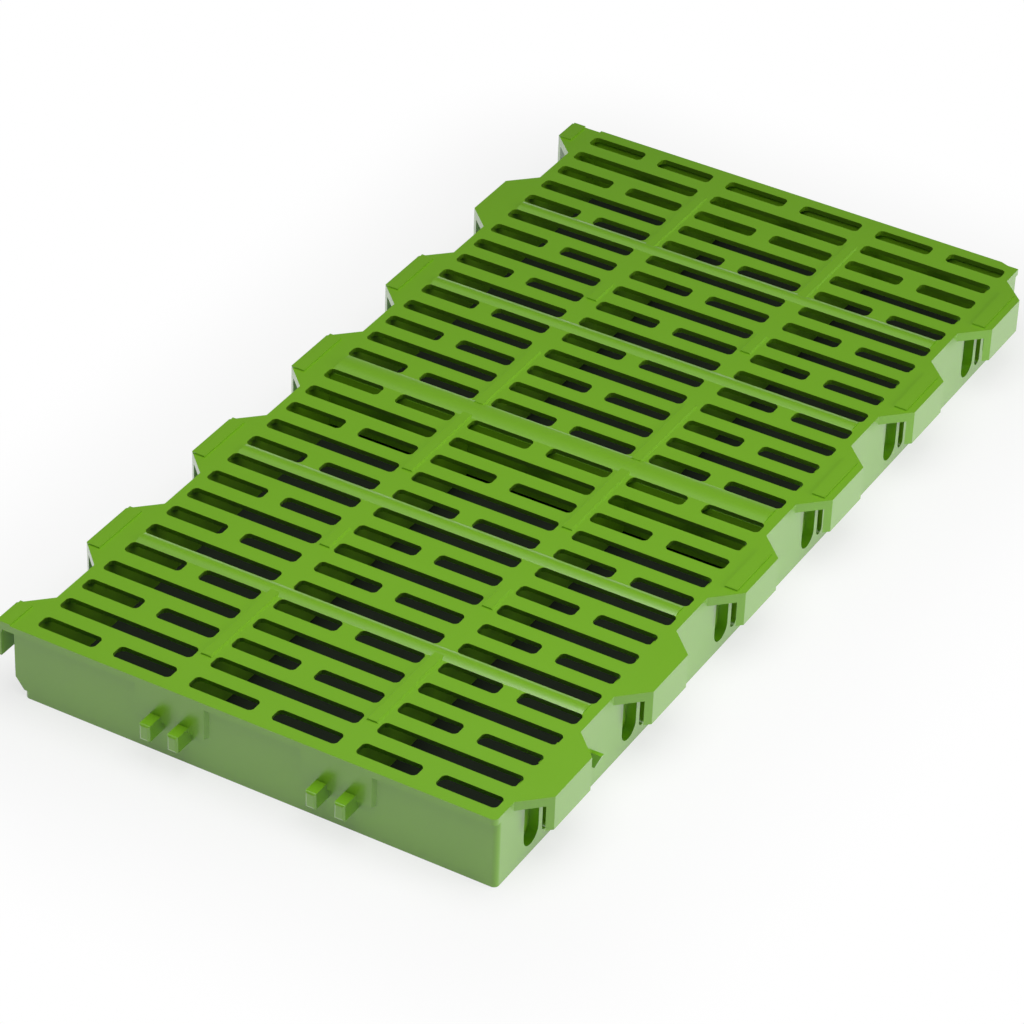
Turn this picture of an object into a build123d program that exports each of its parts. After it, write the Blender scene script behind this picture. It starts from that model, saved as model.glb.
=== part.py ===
from build123d import *
from math import cos, radians, sin
import os

# Sizes are in millimetres. X runs across the slat, Y runs along it, and Z = 0 is the bottom rim.
# X = 0 and Y = 0 are the middle of the slot pattern.

# Deck plate and skirt
height = 45.0
plate_thickness = 4.0
wall_thickness = 3.5
notch_line = 142.5
front_edge = -300.5
far_edge = 298.5
front_setback = 2.5
corner_rounding = 3.0

# Interlocking tabs along both sides
tab_pitch = 100.0
tab_projection = 15.0
tab_tip_length = 36.6
tab_root_length = 66.0
right_tab_count = 6
left_tab_count = 7
lintel_height = 5.5
apron_height = 21.0
apron_thickness = 4.0
jamb_length = 3.2

# Catch on the right wall in the first notch, just below the apron of the next slat
catch_position = -203.0
catch_thickness = 2.6
catch_reach = 6.0
catch_top = 23.0
catch_height = 9.0
catch_foot = 2.2

# Slots, in three columns of rows laid out from the wide bar in the middle
slot_width = 9.8
slot_pitch = 19.62
slot_corner = 3.0
slot_flare = 1.4
middle_bar = 16.0
rows_each_half = 15
column_pitch = 100.0
column_bar = 11.1
short_bar = 10.9
side_margin = 5.0

# Raised grip relief on the deck
ridge_height = 1.2
ridge_length = 272.0
ridge_rows = (5, 10)
strip_height = 1.0
strip_width = 7.0
strip_top_width = 5.4
strip_spans = ((6.0, 70.0), (132.5, 153.5), (200.0, 266.5))
pad_height = 1.0
pad_width = 7.6
pad_length = 39.5
left_pad_inset = 1.5
right_pad_inset = 4.4
plain_right_tabs = (0, 1)
plain_left_tabs = (5,)

# A slit through the right wall behind every tab, with a round-bottomed pocket on each side of it
pocket_width = 14.9
pocket_spacing = 14.35
pocket_depth = 5.8
pocket_wall = 2.2
slit_width = 6.4
window_sill = 5.4

# Ribs under the deck
long_rib_thickness = 3.0
cross_rib_thickness = 2.5
cross_rib_inset = 1.0
rib_lift = 6.0

# Blocks and pegs on the front wall
bay_width = 42.0
bay_height = 23.0
bay_slant = 1.4
peg_width = 6.3
peg_height = 10.0
peg_reach = 13.0
peg_spacing = 17.0
peg_top = 25.5
peg_rounding = 1.5

# Ledge along the far end and lug at the near left corner
ledge_drop = 1.5
ledge_thickness = 3.0
ledge_reach = 4.0
ledge_left = -139.5
ledge_right = 130.0
ledge_tip = 141.0
lug_reach = 5.3
lug_bottom = 11.5
lug_slope = 7.0

underside = height - plate_thickness
front_wall = front_edge + front_setback
length = far_edge - front_edge
deck_centre = (far_edge + front_edge) / 2


def tab_centres(count):
    return [(index - (count - 1) / 2) * tab_pitch for index in range(count)]


def box_between(low, high):
    """A box from its low corner to its high corner."""
    size = Vector(*high) - Vector(*low)
    middle = (Vector(*high) + Vector(*low)) / 2
    return Pos(middle) * Box(size.X, size.Y, size.Z)


def tab_outline(side, centre, inset=0.0):
    """The trapezoid of one tab, from the wall to its tip, set in from its edges."""
    tip = tab_tip_length / 2 - inset
    root = tab_root_length / 2 - inset
    inner = side * (notch_line - wall_thickness)
    line = side * notch_line
    outer = side * (notch_line + tab_projection - inset)
    points = [
        (inner, centre - root),
        (line, centre - root),
        (outer, centre - tip),
        (outer, centre + tip),
        (line, centre + root),
        (inner, centre + root),
    ]
    return make_face(Polyline(*points, close=True))


def all_tabs():
    sides = [(1, centre) for centre in tab_centres(right_tab_count)]
    return sides + [(-1, centre) for centre in tab_centres(left_tab_count)]


def deck_length_strip():
    """A wide rectangle as long as the deck, which trims the tabs at the two ends."""
    reach = 2 * (notch_line + tab_projection + wall_thickness)
    return Pos(0, deck_centre) * Rectangle(reach, length)


def deck_outline():
    outline = Pos(0, deck_centre) * Rectangle(2 * notch_line, length)
    for side, centre in all_tabs():
        outline += tab_outline(side, centre) & deck_length_strip()
    near_right = outline.vertices().sort_by_distance((notch_line, front_edge, 0))[0]
    return fillet(near_right, corner_rounding)


def slot_spans(short):
    """The X ranges of the slots in one row: whole slots, or pairs parted by a short bar."""
    first = column_bar / 2
    middle = column_pitch / 2 - first
    columns = [(-middle, middle)]
    for side in (-1, 1):
        ends = (side * (column_pitch / 2 + first), side * (notch_line - side_margin))
        columns.append((min(ends), max(ends)))
    if not short:
        return columns
    halves = []
    for low, high in columns:
        centre = (low + high) / 2
        halves.append((low, centre - short_bar / 2))
        halves.append((centre + short_bar / 2, high))
    return halves


def row_position(index):
    """The distance of a row from the middle, counted from the wide bar."""
    return middle_bar / 2 + slot_width / 2 + index * slot_pitch


def slot_corners(slot_length, level, flare):
    """The corners of a slot at one level, with two flats round each end of its long sides."""
    reach = (slot_corner + flare) / cos(radians(15))
    points = []
    for quarter, (across, along) in enumerate([(1, 1), (-1, 1), (-1, -1), (1, -1)]):
        for turn in (15, 45, 75):
            angle = radians(90 * quarter + turn)
            x = across * (slot_length / 2 - slot_corner) + reach * cos(angle)
            y = along * (slot_width / 2 - slot_corner) + reach * sin(angle)
            points.append((x, y, level))
    return points


def flat(*points):
    return make_face(Polyline(*points, close=True)).face()


def slot_cutter(slot_length):
    """One slot through the deck plate, wider below so that nothing sticks in it."""
    top = slot_corners(slot_length, height, 0)
    bottom = slot_corners(slot_length, underside, slot_flare)
    faces = [flat(*top), flat(*bottom)]
    for index in range(len(top)):
        faces.append(flat(top[index - 1], top[index], bottom[index], bottom[index - 1]))
    return Solid(Shell(faces))


def slots():
    cutters = []
    for index in range(rows_each_half):
        for low, high in slot_spans(short=index % 2 == 0):
            cutter = slot_cutter(high - low)
            for side in (-1, 1):
                cutters.append(Pos((low + high) / 2, side * row_position(index)) * cutter)
    return cutters


def deck_plate():
    plate = extrude(Pos(0, 0, underside) * deck_outline(), amount=plate_thickness)
    return plate - slots()


def skirt():
    """The outer walls, open at the bottom, with their upright corners rounded."""
    middle = (far_edge + front_wall) / 2
    plan = Pos(0, middle) * RectangleRounded(2 * notch_line, far_edge - front_wall, corner_rounding)
    outer = extrude(plan, amount=underside)
    inner_width = notch_line - wall_thickness
    low = (-inner_width, front_wall + wall_thickness, 0)
    high = (inner_width, far_edge - wall_thickness, underside)
    return outer - box_between(low, high)


def window(centre, width, depth):
    """A cut with a round sill, from the rim's band up to the deck plate."""
    radius = width / 2
    round_sill = Pos(centre, window_sill + radius) * Circle(radius)
    opening_height = underside - window_sill - radius
    opening = Pos(centre, window_sill + radius + opening_height / 2) * Rectangle(width, opening_height)
    profile = Plane.YZ.offset(notch_line - depth) * (round_sill + opening)
    return extrude(profile, amount=depth)


def pocket_centres():
    return [centre + side * pocket_spacing for centre in tab_centres(right_tab_count) for side in (-1, 1)]


def pocket_backs():
    """The blocks inside the right wall that close its pockets."""
    blocks = []
    half = pocket_width / 2 + pocket_wall
    inner = notch_line - pocket_depth - pocket_wall
    for centre in pocket_centres():
        blocks.append(box_between((inner, centre - half, 0), (notch_line, centre + half, underside)))
    return blocks


def windows():
    slits = [window(centre, slit_width, wall_thickness) for centre in tab_centres(right_tab_count)]
    return slits + [window(centre, pocket_width, pocket_depth) for centre in pocket_centres()]


def tab_skirt(side, centre):
    """The lintel below a tab's edge and the apron that hangs from its tip."""
    outline = tab_outline(side, centre)
    hollow = tab_outline(side, centre, apron_thickness)
    lintel = extrude(Pos(0, 0, height - lintel_height) * (outline - hollow), amount=lintel_height)
    tip_line = side * (notch_line + tab_projection)
    root_reach = jamb_length
    band = Pos(tip_line - side * root_reach / 2, centre) * Rectangle(root_reach, tab_root_length)
    apron = extrude(Pos(0, 0, height - apron_height) * (outline & band), amount=apron_height)
    keep = extrude(deck_length_strip(), amount=height)
    return (lintel + apron) & keep


def catch():
    """The small hook on the right wall that holds down the next slat."""
    root = notch_line - wall_thickness
    points = [
        (root, catch_top),
        (notch_line + catch_reach, catch_top),
        (notch_line + catch_foot, catch_top - catch_height),
        (root, catch_top - catch_height),
    ]
    profile = make_face(Polyline(*points, close=True))
    face = catch_position + catch_thickness / 2
    return extrude(Plane.XZ.offset(-face) * profile, amount=catch_thickness)


def deck_ribs():
    """Two ribs along the slat and a pair across its middle."""
    inner = notch_line - wall_thickness
    ribs = []
    for side in (-1, 1):
        middle = side * column_pitch / 2
        half = long_rib_thickness / 2
        low = (middle - half, front_wall + wall_thickness, rib_lift)
        high = (middle + half, far_edge - wall_thickness, underside)
        ribs.append(box_between(low, high))
        face = side * (middle_bar / 2 - cross_rib_inset)
        back = face - side * cross_rib_thickness
        low = (-inner, min(face, back), rib_lift)
        high = (inner, max(face, back), underside)
        ribs.append(box_between(low, high))
    return ribs


def ridge(middle, width):
    """A low crowned ridge across the deck, as wide as the bar under it."""
    profile = Plane.YZ.offset(-ridge_length / 2) * make_face(
        [
            Line((middle - width / 2, height), (middle + width / 2, height)),
            ThreePointArc(
                (middle - width / 2, height),
                (middle, height + ridge_height),
                (middle + width / 2, height),
            ),
        ]
    )
    return extrude(profile, amount=ridge_length)


def ridges():
    bar_width = slot_pitch - slot_width
    parts = [ridge(0, middle_bar)]
    for side in (-1, 1):
        for row in ridge_rows:
            parts.append(ridge(side * (row_position(row) - slot_pitch / 2), bar_width))
    return parts


def strip(x, low, high):
    """A raised strip along the deck, with sloping flanks."""
    half = strip_width / 2
    half_top = strip_top_width / 2
    points = [
        (x - half, height),
        (x - half_top, height + strip_height),
        (x + half_top, height + strip_height),
        (x + half, height),
    ]
    profile = make_face(Polyline(*points, close=True))
    return extrude(Plane.XZ.offset(-high) * profile, amount=high - low)


def strips():
    parts = []
    for low, high in strip_spans:
        for x in (-column_pitch / 2, column_pitch / 2):
            parts.append(strip(x, low, high))
            parts.append(strip(x, -high, -low))
    return parts


def pad(side, centre, inset):
    outer = side * (notch_line + tab_projection - inset)
    inner = outer - side * pad_width
    low = (min(inner, outer), max(centre - pad_length / 2, front_edge), height)
    high = (max(inner, outer), min(centre + pad_length / 2, far_edge), height + pad_height)
    return box_between(low, high)


def pads():
    parts = []
    for index, centre in enumerate(tab_centres(right_tab_count)):
        if index not in plain_right_tabs:
            parts.append(pad(1, centre, right_pad_inset))
    for index, centre in enumerate(tab_centres(left_tab_count)):
        if index not in plain_left_tabs:
            parts.append(pad(-1, centre, left_pad_inset))
    return parts


def peg_positions():
    places = []
    for side in (-1, 1):
        for offset in (-peg_spacing / 2, peg_spacing / 2):
            places.append(side * column_pitch / 2 + offset)
    return places


def bay(x):
    """A block that carries the lip down over the front wall, above a pair of pegs."""
    points = [
        (x - bay_width / 2, front_edge),
        (x + bay_width / 2, front_edge),
        (x + bay_width / 2 + bay_slant, front_wall),
        (x - bay_width / 2 - bay_slant, front_wall),
    ]
    plan = make_face(Polyline(*points, close=True))
    return extrude(Pos(0, 0, height - bay_height) * plan, amount=bay_height - plate_thickness)


def peg(x):
    low = (x - peg_width / 2, front_wall - peg_reach, peg_top - peg_height)
    high = (x + peg_width / 2, front_wall, peg_top)
    body = box_between(low, high)
    tip_edges = body.faces().sort_by(Axis.Y)[0].edges()
    return fillet(tip_edges, peg_rounding)


def far_ledge():
    reach = far_edge + ledge_reach
    root = far_edge - wall_thickness
    points = [
        (ledge_left, root),
        (ledge_left, reach),
        (ledge_right, reach),
        (ledge_tip, far_edge),
        (ledge_tip, root),
    ]
    outline = make_face(Polyline(*points, close=True))
    bottom = height - ledge_drop - ledge_thickness
    return extrude(Pos(0, 0, bottom) * outline, amount=ledge_thickness)


def corner_lug():
    """The ear of the front wall at the near left corner, under the end tab."""
    root = -notch_line + corner_rounding
    points = [
        (root, underside),
        (-notch_line - lug_reach, underside),
        (-notch_line - lug_reach, lug_bottom),
        (-notch_line, lug_bottom - lug_slope),
        (root, lug_bottom - lug_slope),
    ]
    profile = make_face(Polyline(*points, close=True))
    depth = front_wall + wall_thickness
    return extrude(Plane.XZ.offset(-depth) * profile, amount=wall_thickness)


def slat_panel():
    panel = deck_plate() + skirt()
    panel += deck_ribs() + pocket_backs()
    panel += [tab_skirt(side, centre) for side, centre in all_tabs()]
    panel -= windows()
    panel += ridges() + strips() + pads()
    panel += [bay(side * column_pitch / 2) for side in (-1, 1)]
    panel += [peg(x) for x in peg_positions()]
    panel += [far_ledge(), corner_lug(), catch()]
    return panel


os.makedirs("parts", exist_ok=True)
export_step(slat_panel(), "parts/slat_panel.step")
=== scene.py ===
import math

import bpy
from mathutils import Matrix, Vector

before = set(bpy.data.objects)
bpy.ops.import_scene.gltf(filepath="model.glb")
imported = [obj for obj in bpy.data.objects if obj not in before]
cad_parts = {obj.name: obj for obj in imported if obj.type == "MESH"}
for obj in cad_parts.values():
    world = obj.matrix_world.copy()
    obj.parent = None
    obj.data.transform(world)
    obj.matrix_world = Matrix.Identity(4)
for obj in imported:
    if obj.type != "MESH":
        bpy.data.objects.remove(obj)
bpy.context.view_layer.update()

# The slat panel is one injection moulding in green polypropylene. Its skin is satin, with a fine
# grain and faint clouds in the colour.
leaf_green = (0.205, 0.475, 0.012, 1.0)
deep_green = (0.180, 0.440, 0.011, 1.0)
cloud_scale = 9.0
sheen_scale = 40.0
grain_scale = 900.0
grain_depth = 0.0002
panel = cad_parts["slat_panel"]


class Shade:
    """A shader socket that takes part in Python maths."""

    tree = None

    def __init__(self, socket):
        self.socket = socket

    @classmethod
    def node(cls, kind, settings=None, **inputs):
        """Add a node. An input is named by its socket, with _ for a space, or by i and its number."""
        made = cls.tree.nodes.new(kind)
        for name, value in (settings or {}).items():
            setattr(made, name, value)
        for name, value in inputs.items():
            key = int(name[1:]) if name[0] == "i" and name[1:].isdigit() else name.replace("_", " ")
            cls.join(made.inputs[key], value)
        return made

    @classmethod
    def join(cls, target, value):
        if isinstance(value, Shade):
            cls.tree.links.new(value.socket, target)
        else:
            target.default_value = value

    @classmethod
    def math(cls, operation, *values):
        inputs = {f"i{index}": value for index, value in enumerate(values)}
        return cls(cls.node("ShaderNodeMath", {"operation": operation}, **inputs).outputs[0])

    def __add__(self, other):
        return Shade.math("ADD", self, other)

    def __sub__(self, other):
        return Shade.math("SUBTRACT", self, other)

    def __rsub__(self, other):
        return Shade.math("SUBTRACT", other, self)

    def __mul__(self, other):
        return Shade.math("MULTIPLY", self, other)

    __radd__ = __add__
    __rmul__ = __mul__


def new_material(name):
    material = bpy.data.materials.new(name)
    material.use_nodes = True
    material.node_tree.nodes.clear()
    Shade.tree = material.node_tree
    return material


def noise(position, scale, detail):
    made = Shade.node("ShaderNodeTexNoise", Vector=position, Scale=scale, Detail=detail)
    return Shade(made.outputs["Fac"])


def mixed(factor, first, second):
    made = Shade.node("ShaderNodeMix", {"data_type": "RGBA"})
    Shade.join(made.inputs["Factor"], factor)
    Shade.join(made.inputs["A"], first)
    Shade.join(made.inputs["B"], second)
    return Shade(made.outputs["Result"])


green_plastic = new_material("green_plastic")
skin = Shade(Shade.node("ShaderNodeTexCoord").outputs["Object"])
colour = mixed(noise(skin, cloud_scale, 3.0), leaf_green, deep_green)
satin = 0.28 + 0.08 * noise(skin, sheen_scale, 4.0)
grain = Shade.node(
    "ShaderNodeBump",
    Strength=0.10,
    Distance=grain_depth,
    Height=noise(skin, grain_scale, 2.0),
)
surface = Shade.node(
    "ShaderNodeBsdfPrincipled",
    Base_Color=colour,
    Roughness=satin,
    IOR=1.5,
    Coat_Weight=1.0,
    Coat_Roughness=0.22,
    Normal=Shade(grain.outputs["Normal"]),
)
Shade.node("ShaderNodeOutputMaterial", Surface=Shade(surface.outputs[0]))
panel.data.materials.clear()
panel.data.materials.append(green_plastic)

# The floor is a white studio sheet under the slat. It takes the slat's soft shadow close to the
# skirt's foot and is plain white further out.
floor_size = 6.0
floor_level = -0.0002
skirt_half_width = 0.1425
skirt_half_length = 0.2985
shadow_reach = 0.16
foot_white = 0.72


def seen(*rays):
    """1 for the kinds of ray that see a surface, and 0 for those that carry light from it."""
    path = Shade.node("ShaderNodeLightPath")
    total = Shade(path.outputs[rays[0]])
    for ray in rays[1:]:
        total = Shade.math("MAXIMUM", total, Shade(path.outputs[ray]))
    return total


def ramp(value, start, end):
    """A smooth rise from 0 at the start to 1 at the end."""
    made = Shade.node(
        "ShaderNodeMapRange",
        {"interpolation_type": "SMOOTHSTEP"},
        Value=value,
        From_Min=start,
        From_Max=end,
    )
    return Shade(made.outputs["Result"])


def beyond(coordinate, half_width):
    """The distance past the skirt along one axis, and 0 beside it."""
    return Shade.math("MAXIMUM", Shade.math("ABSOLUTE", coordinate) - half_width, 0.0)


bpy.ops.mesh.primitive_plane_add(size=floor_size, location=(0, 0, floor_level))
floor = bpy.context.object
floor.name = "floor"
white_sheet = new_material("white_sheet")
spot = Shade(Shade.node("ShaderNodeTexCoord").outputs["Object"])
parts = Shade.node("ShaderNodeSeparateXYZ", Vector=spot)
past_side = beyond(Shade(parts.outputs["X"]), skirt_half_width)
past_end = beyond(Shade(parts.outputs["Y"]), skirt_half_length)
distance = Shade.math("SQRT", past_side * past_side + past_end * past_end)
whiteness = foot_white + (1 - foot_white) * ramp(distance, 0.0, shadow_reach)
seen_white = seen("Is Camera Ray", "Is Glossy Ray", "Is Transmission Ray") * whiteness
sheet = Shade.node("ShaderNodeBsdfDiffuse", Color=(0.9, 0.9, 0.9, 1))
white = Shade.node("ShaderNodeEmission", Color=(1, 1, 1, 1), Strength=1.0)
blend = Shade.node(
    "ShaderNodeMixShader",
    Fac=seen_white,
    i1=Shade(sheet.outputs[0]),
    i2=Shade(white.outputs[0]),
)
Shade.node("ShaderNodeOutputMaterial", Surface=Shade(blend.outputs[0]))
floor.data.materials.append(white_sheet)

# A dark sheet under the slat is painted shade: it stands for the shade in the hollow below the deck.
# It ends inside the skirt, so that it shows only through the slots and windows.
painted_shade_width = 0.281
painted_shade_length = 0.593
painted_shade_level = -0.0001
bpy.ops.mesh.primitive_plane_add(size=1.0, location=(0, 0, painted_shade_level))
painted_shade_sheet = bpy.context.object
painted_shade_sheet.name = "painted_shade_sheet"
painted_shade_sheet.scale = (painted_shade_width, painted_shade_length, 1)
painted_shade_material = new_material("painted_shade_material")
# The sheet's dark colour is painted shade.
dark = Shade.node("ShaderNodeBsdfDiffuse", Color=(0.035, 0.045, 0.030, 1))
Shade.node("ShaderNodeOutputMaterial", Surface=Shade(dark.outputs[0]))
painted_shade_sheet.data.materials.append(painted_shade_material)

# Studio light: a wide pale dome overhead, open above the height at which the deck would mirror it,
# a soft box above the near end, and a low fill on the right that shows in no gloss.
dome_strength = 0.44
surround_strength = 0.07
dome_foot = 0.66
dome_full = 0.84
horizon_height = 0.25
world = bpy.data.worlds.new("studio")
bpy.context.scene.world = world
world.use_nodes = True
world.node_tree.nodes.clear()
Shade.tree = world.node_tree
direction = Shade(Shade.node("ShaderNodeTexCoord").outputs["Generated"])
climb = Shade(Shade.node("ShaderNodeSeparateXYZ", Vector=direction).outputs["Z"])
dome = surround_strength + dome_strength * ramp(climb, dome_foot, dome_full)
horizon = seen("Is Glossy Ray") * (1 - ramp(climb, 0.0, horizon_height))
backdrop = Shade.math("MAXIMUM", seen("Is Camera Ray", "Is Transmission Ray"), horizon)
sky = Shade.node(
    "ShaderNodeBackground",
    Color=(1, 1, 1, 1),
    Strength=Shade.math("MAXIMUM", dome, backdrop),
)
Shade.node("ShaderNodeOutputWorld", Surface=Shade(sky.outputs[0]))


def soft_box(name, place, aim, size, power):
    lamp = bpy.data.lights.new(name, "AREA")
    lamp.shape = "DISK"
    lamp.size = size
    lamp.energy = power
    holder = bpy.data.objects.new(name, lamp)
    holder.location = place
    holder.rotation_euler = (Vector(aim) - Vector(place)).to_track_quat("-Z", "Y").to_euler()
    bpy.context.collection.objects.link(holder)
    return holder


soft_box("near_end", (0.18, -0.23, 0.96), (0.18, -0.23, 0), 1.0, 6.7)
fill = soft_box("fill", (1.7, 0.3, 0.4), (0.1, 0, 0), 0.8, 11.5)
fill.visible_glossy = False

# The camera stands to the right of the near end and looks down along the slat, as in the
# photograph. It leans a little, so that the slat's long edge runs as it does there.
azimuth = math.radians(29.106)
elevation = math.radians(35.616)
roll = math.radians(2.271)
camera_place = Vector((0.97163, -1.78618, 1.45013))
camera = bpy.data.cameras.new("camera")
camera.lens = 158.267
camera.sensor_width = 36.0
camera.clip_start = 0.05
viewer = bpy.data.objects.new("camera", camera)
forward = Vector(
    (
        -math.sin(azimuth) * math.cos(elevation),
        math.cos(azimuth) * math.cos(elevation),
        -math.sin(elevation),
    )
)
level_right = Vector((math.cos(azimuth), math.sin(azimuth), 0))
level_up = level_right.cross(forward)
right = level_right * math.cos(roll) + level_up * math.sin(roll)
up = right.cross(forward)
turn = Matrix((right, up, -forward)).transposed()
viewer.matrix_world = Matrix.Translation(camera_place) @ turn.to_4x4()
bpy.context.collection.objects.link(viewer)
bpy.context.scene.camera = viewer
bpy.context.scene.view_settings.view_transform = "Standard"
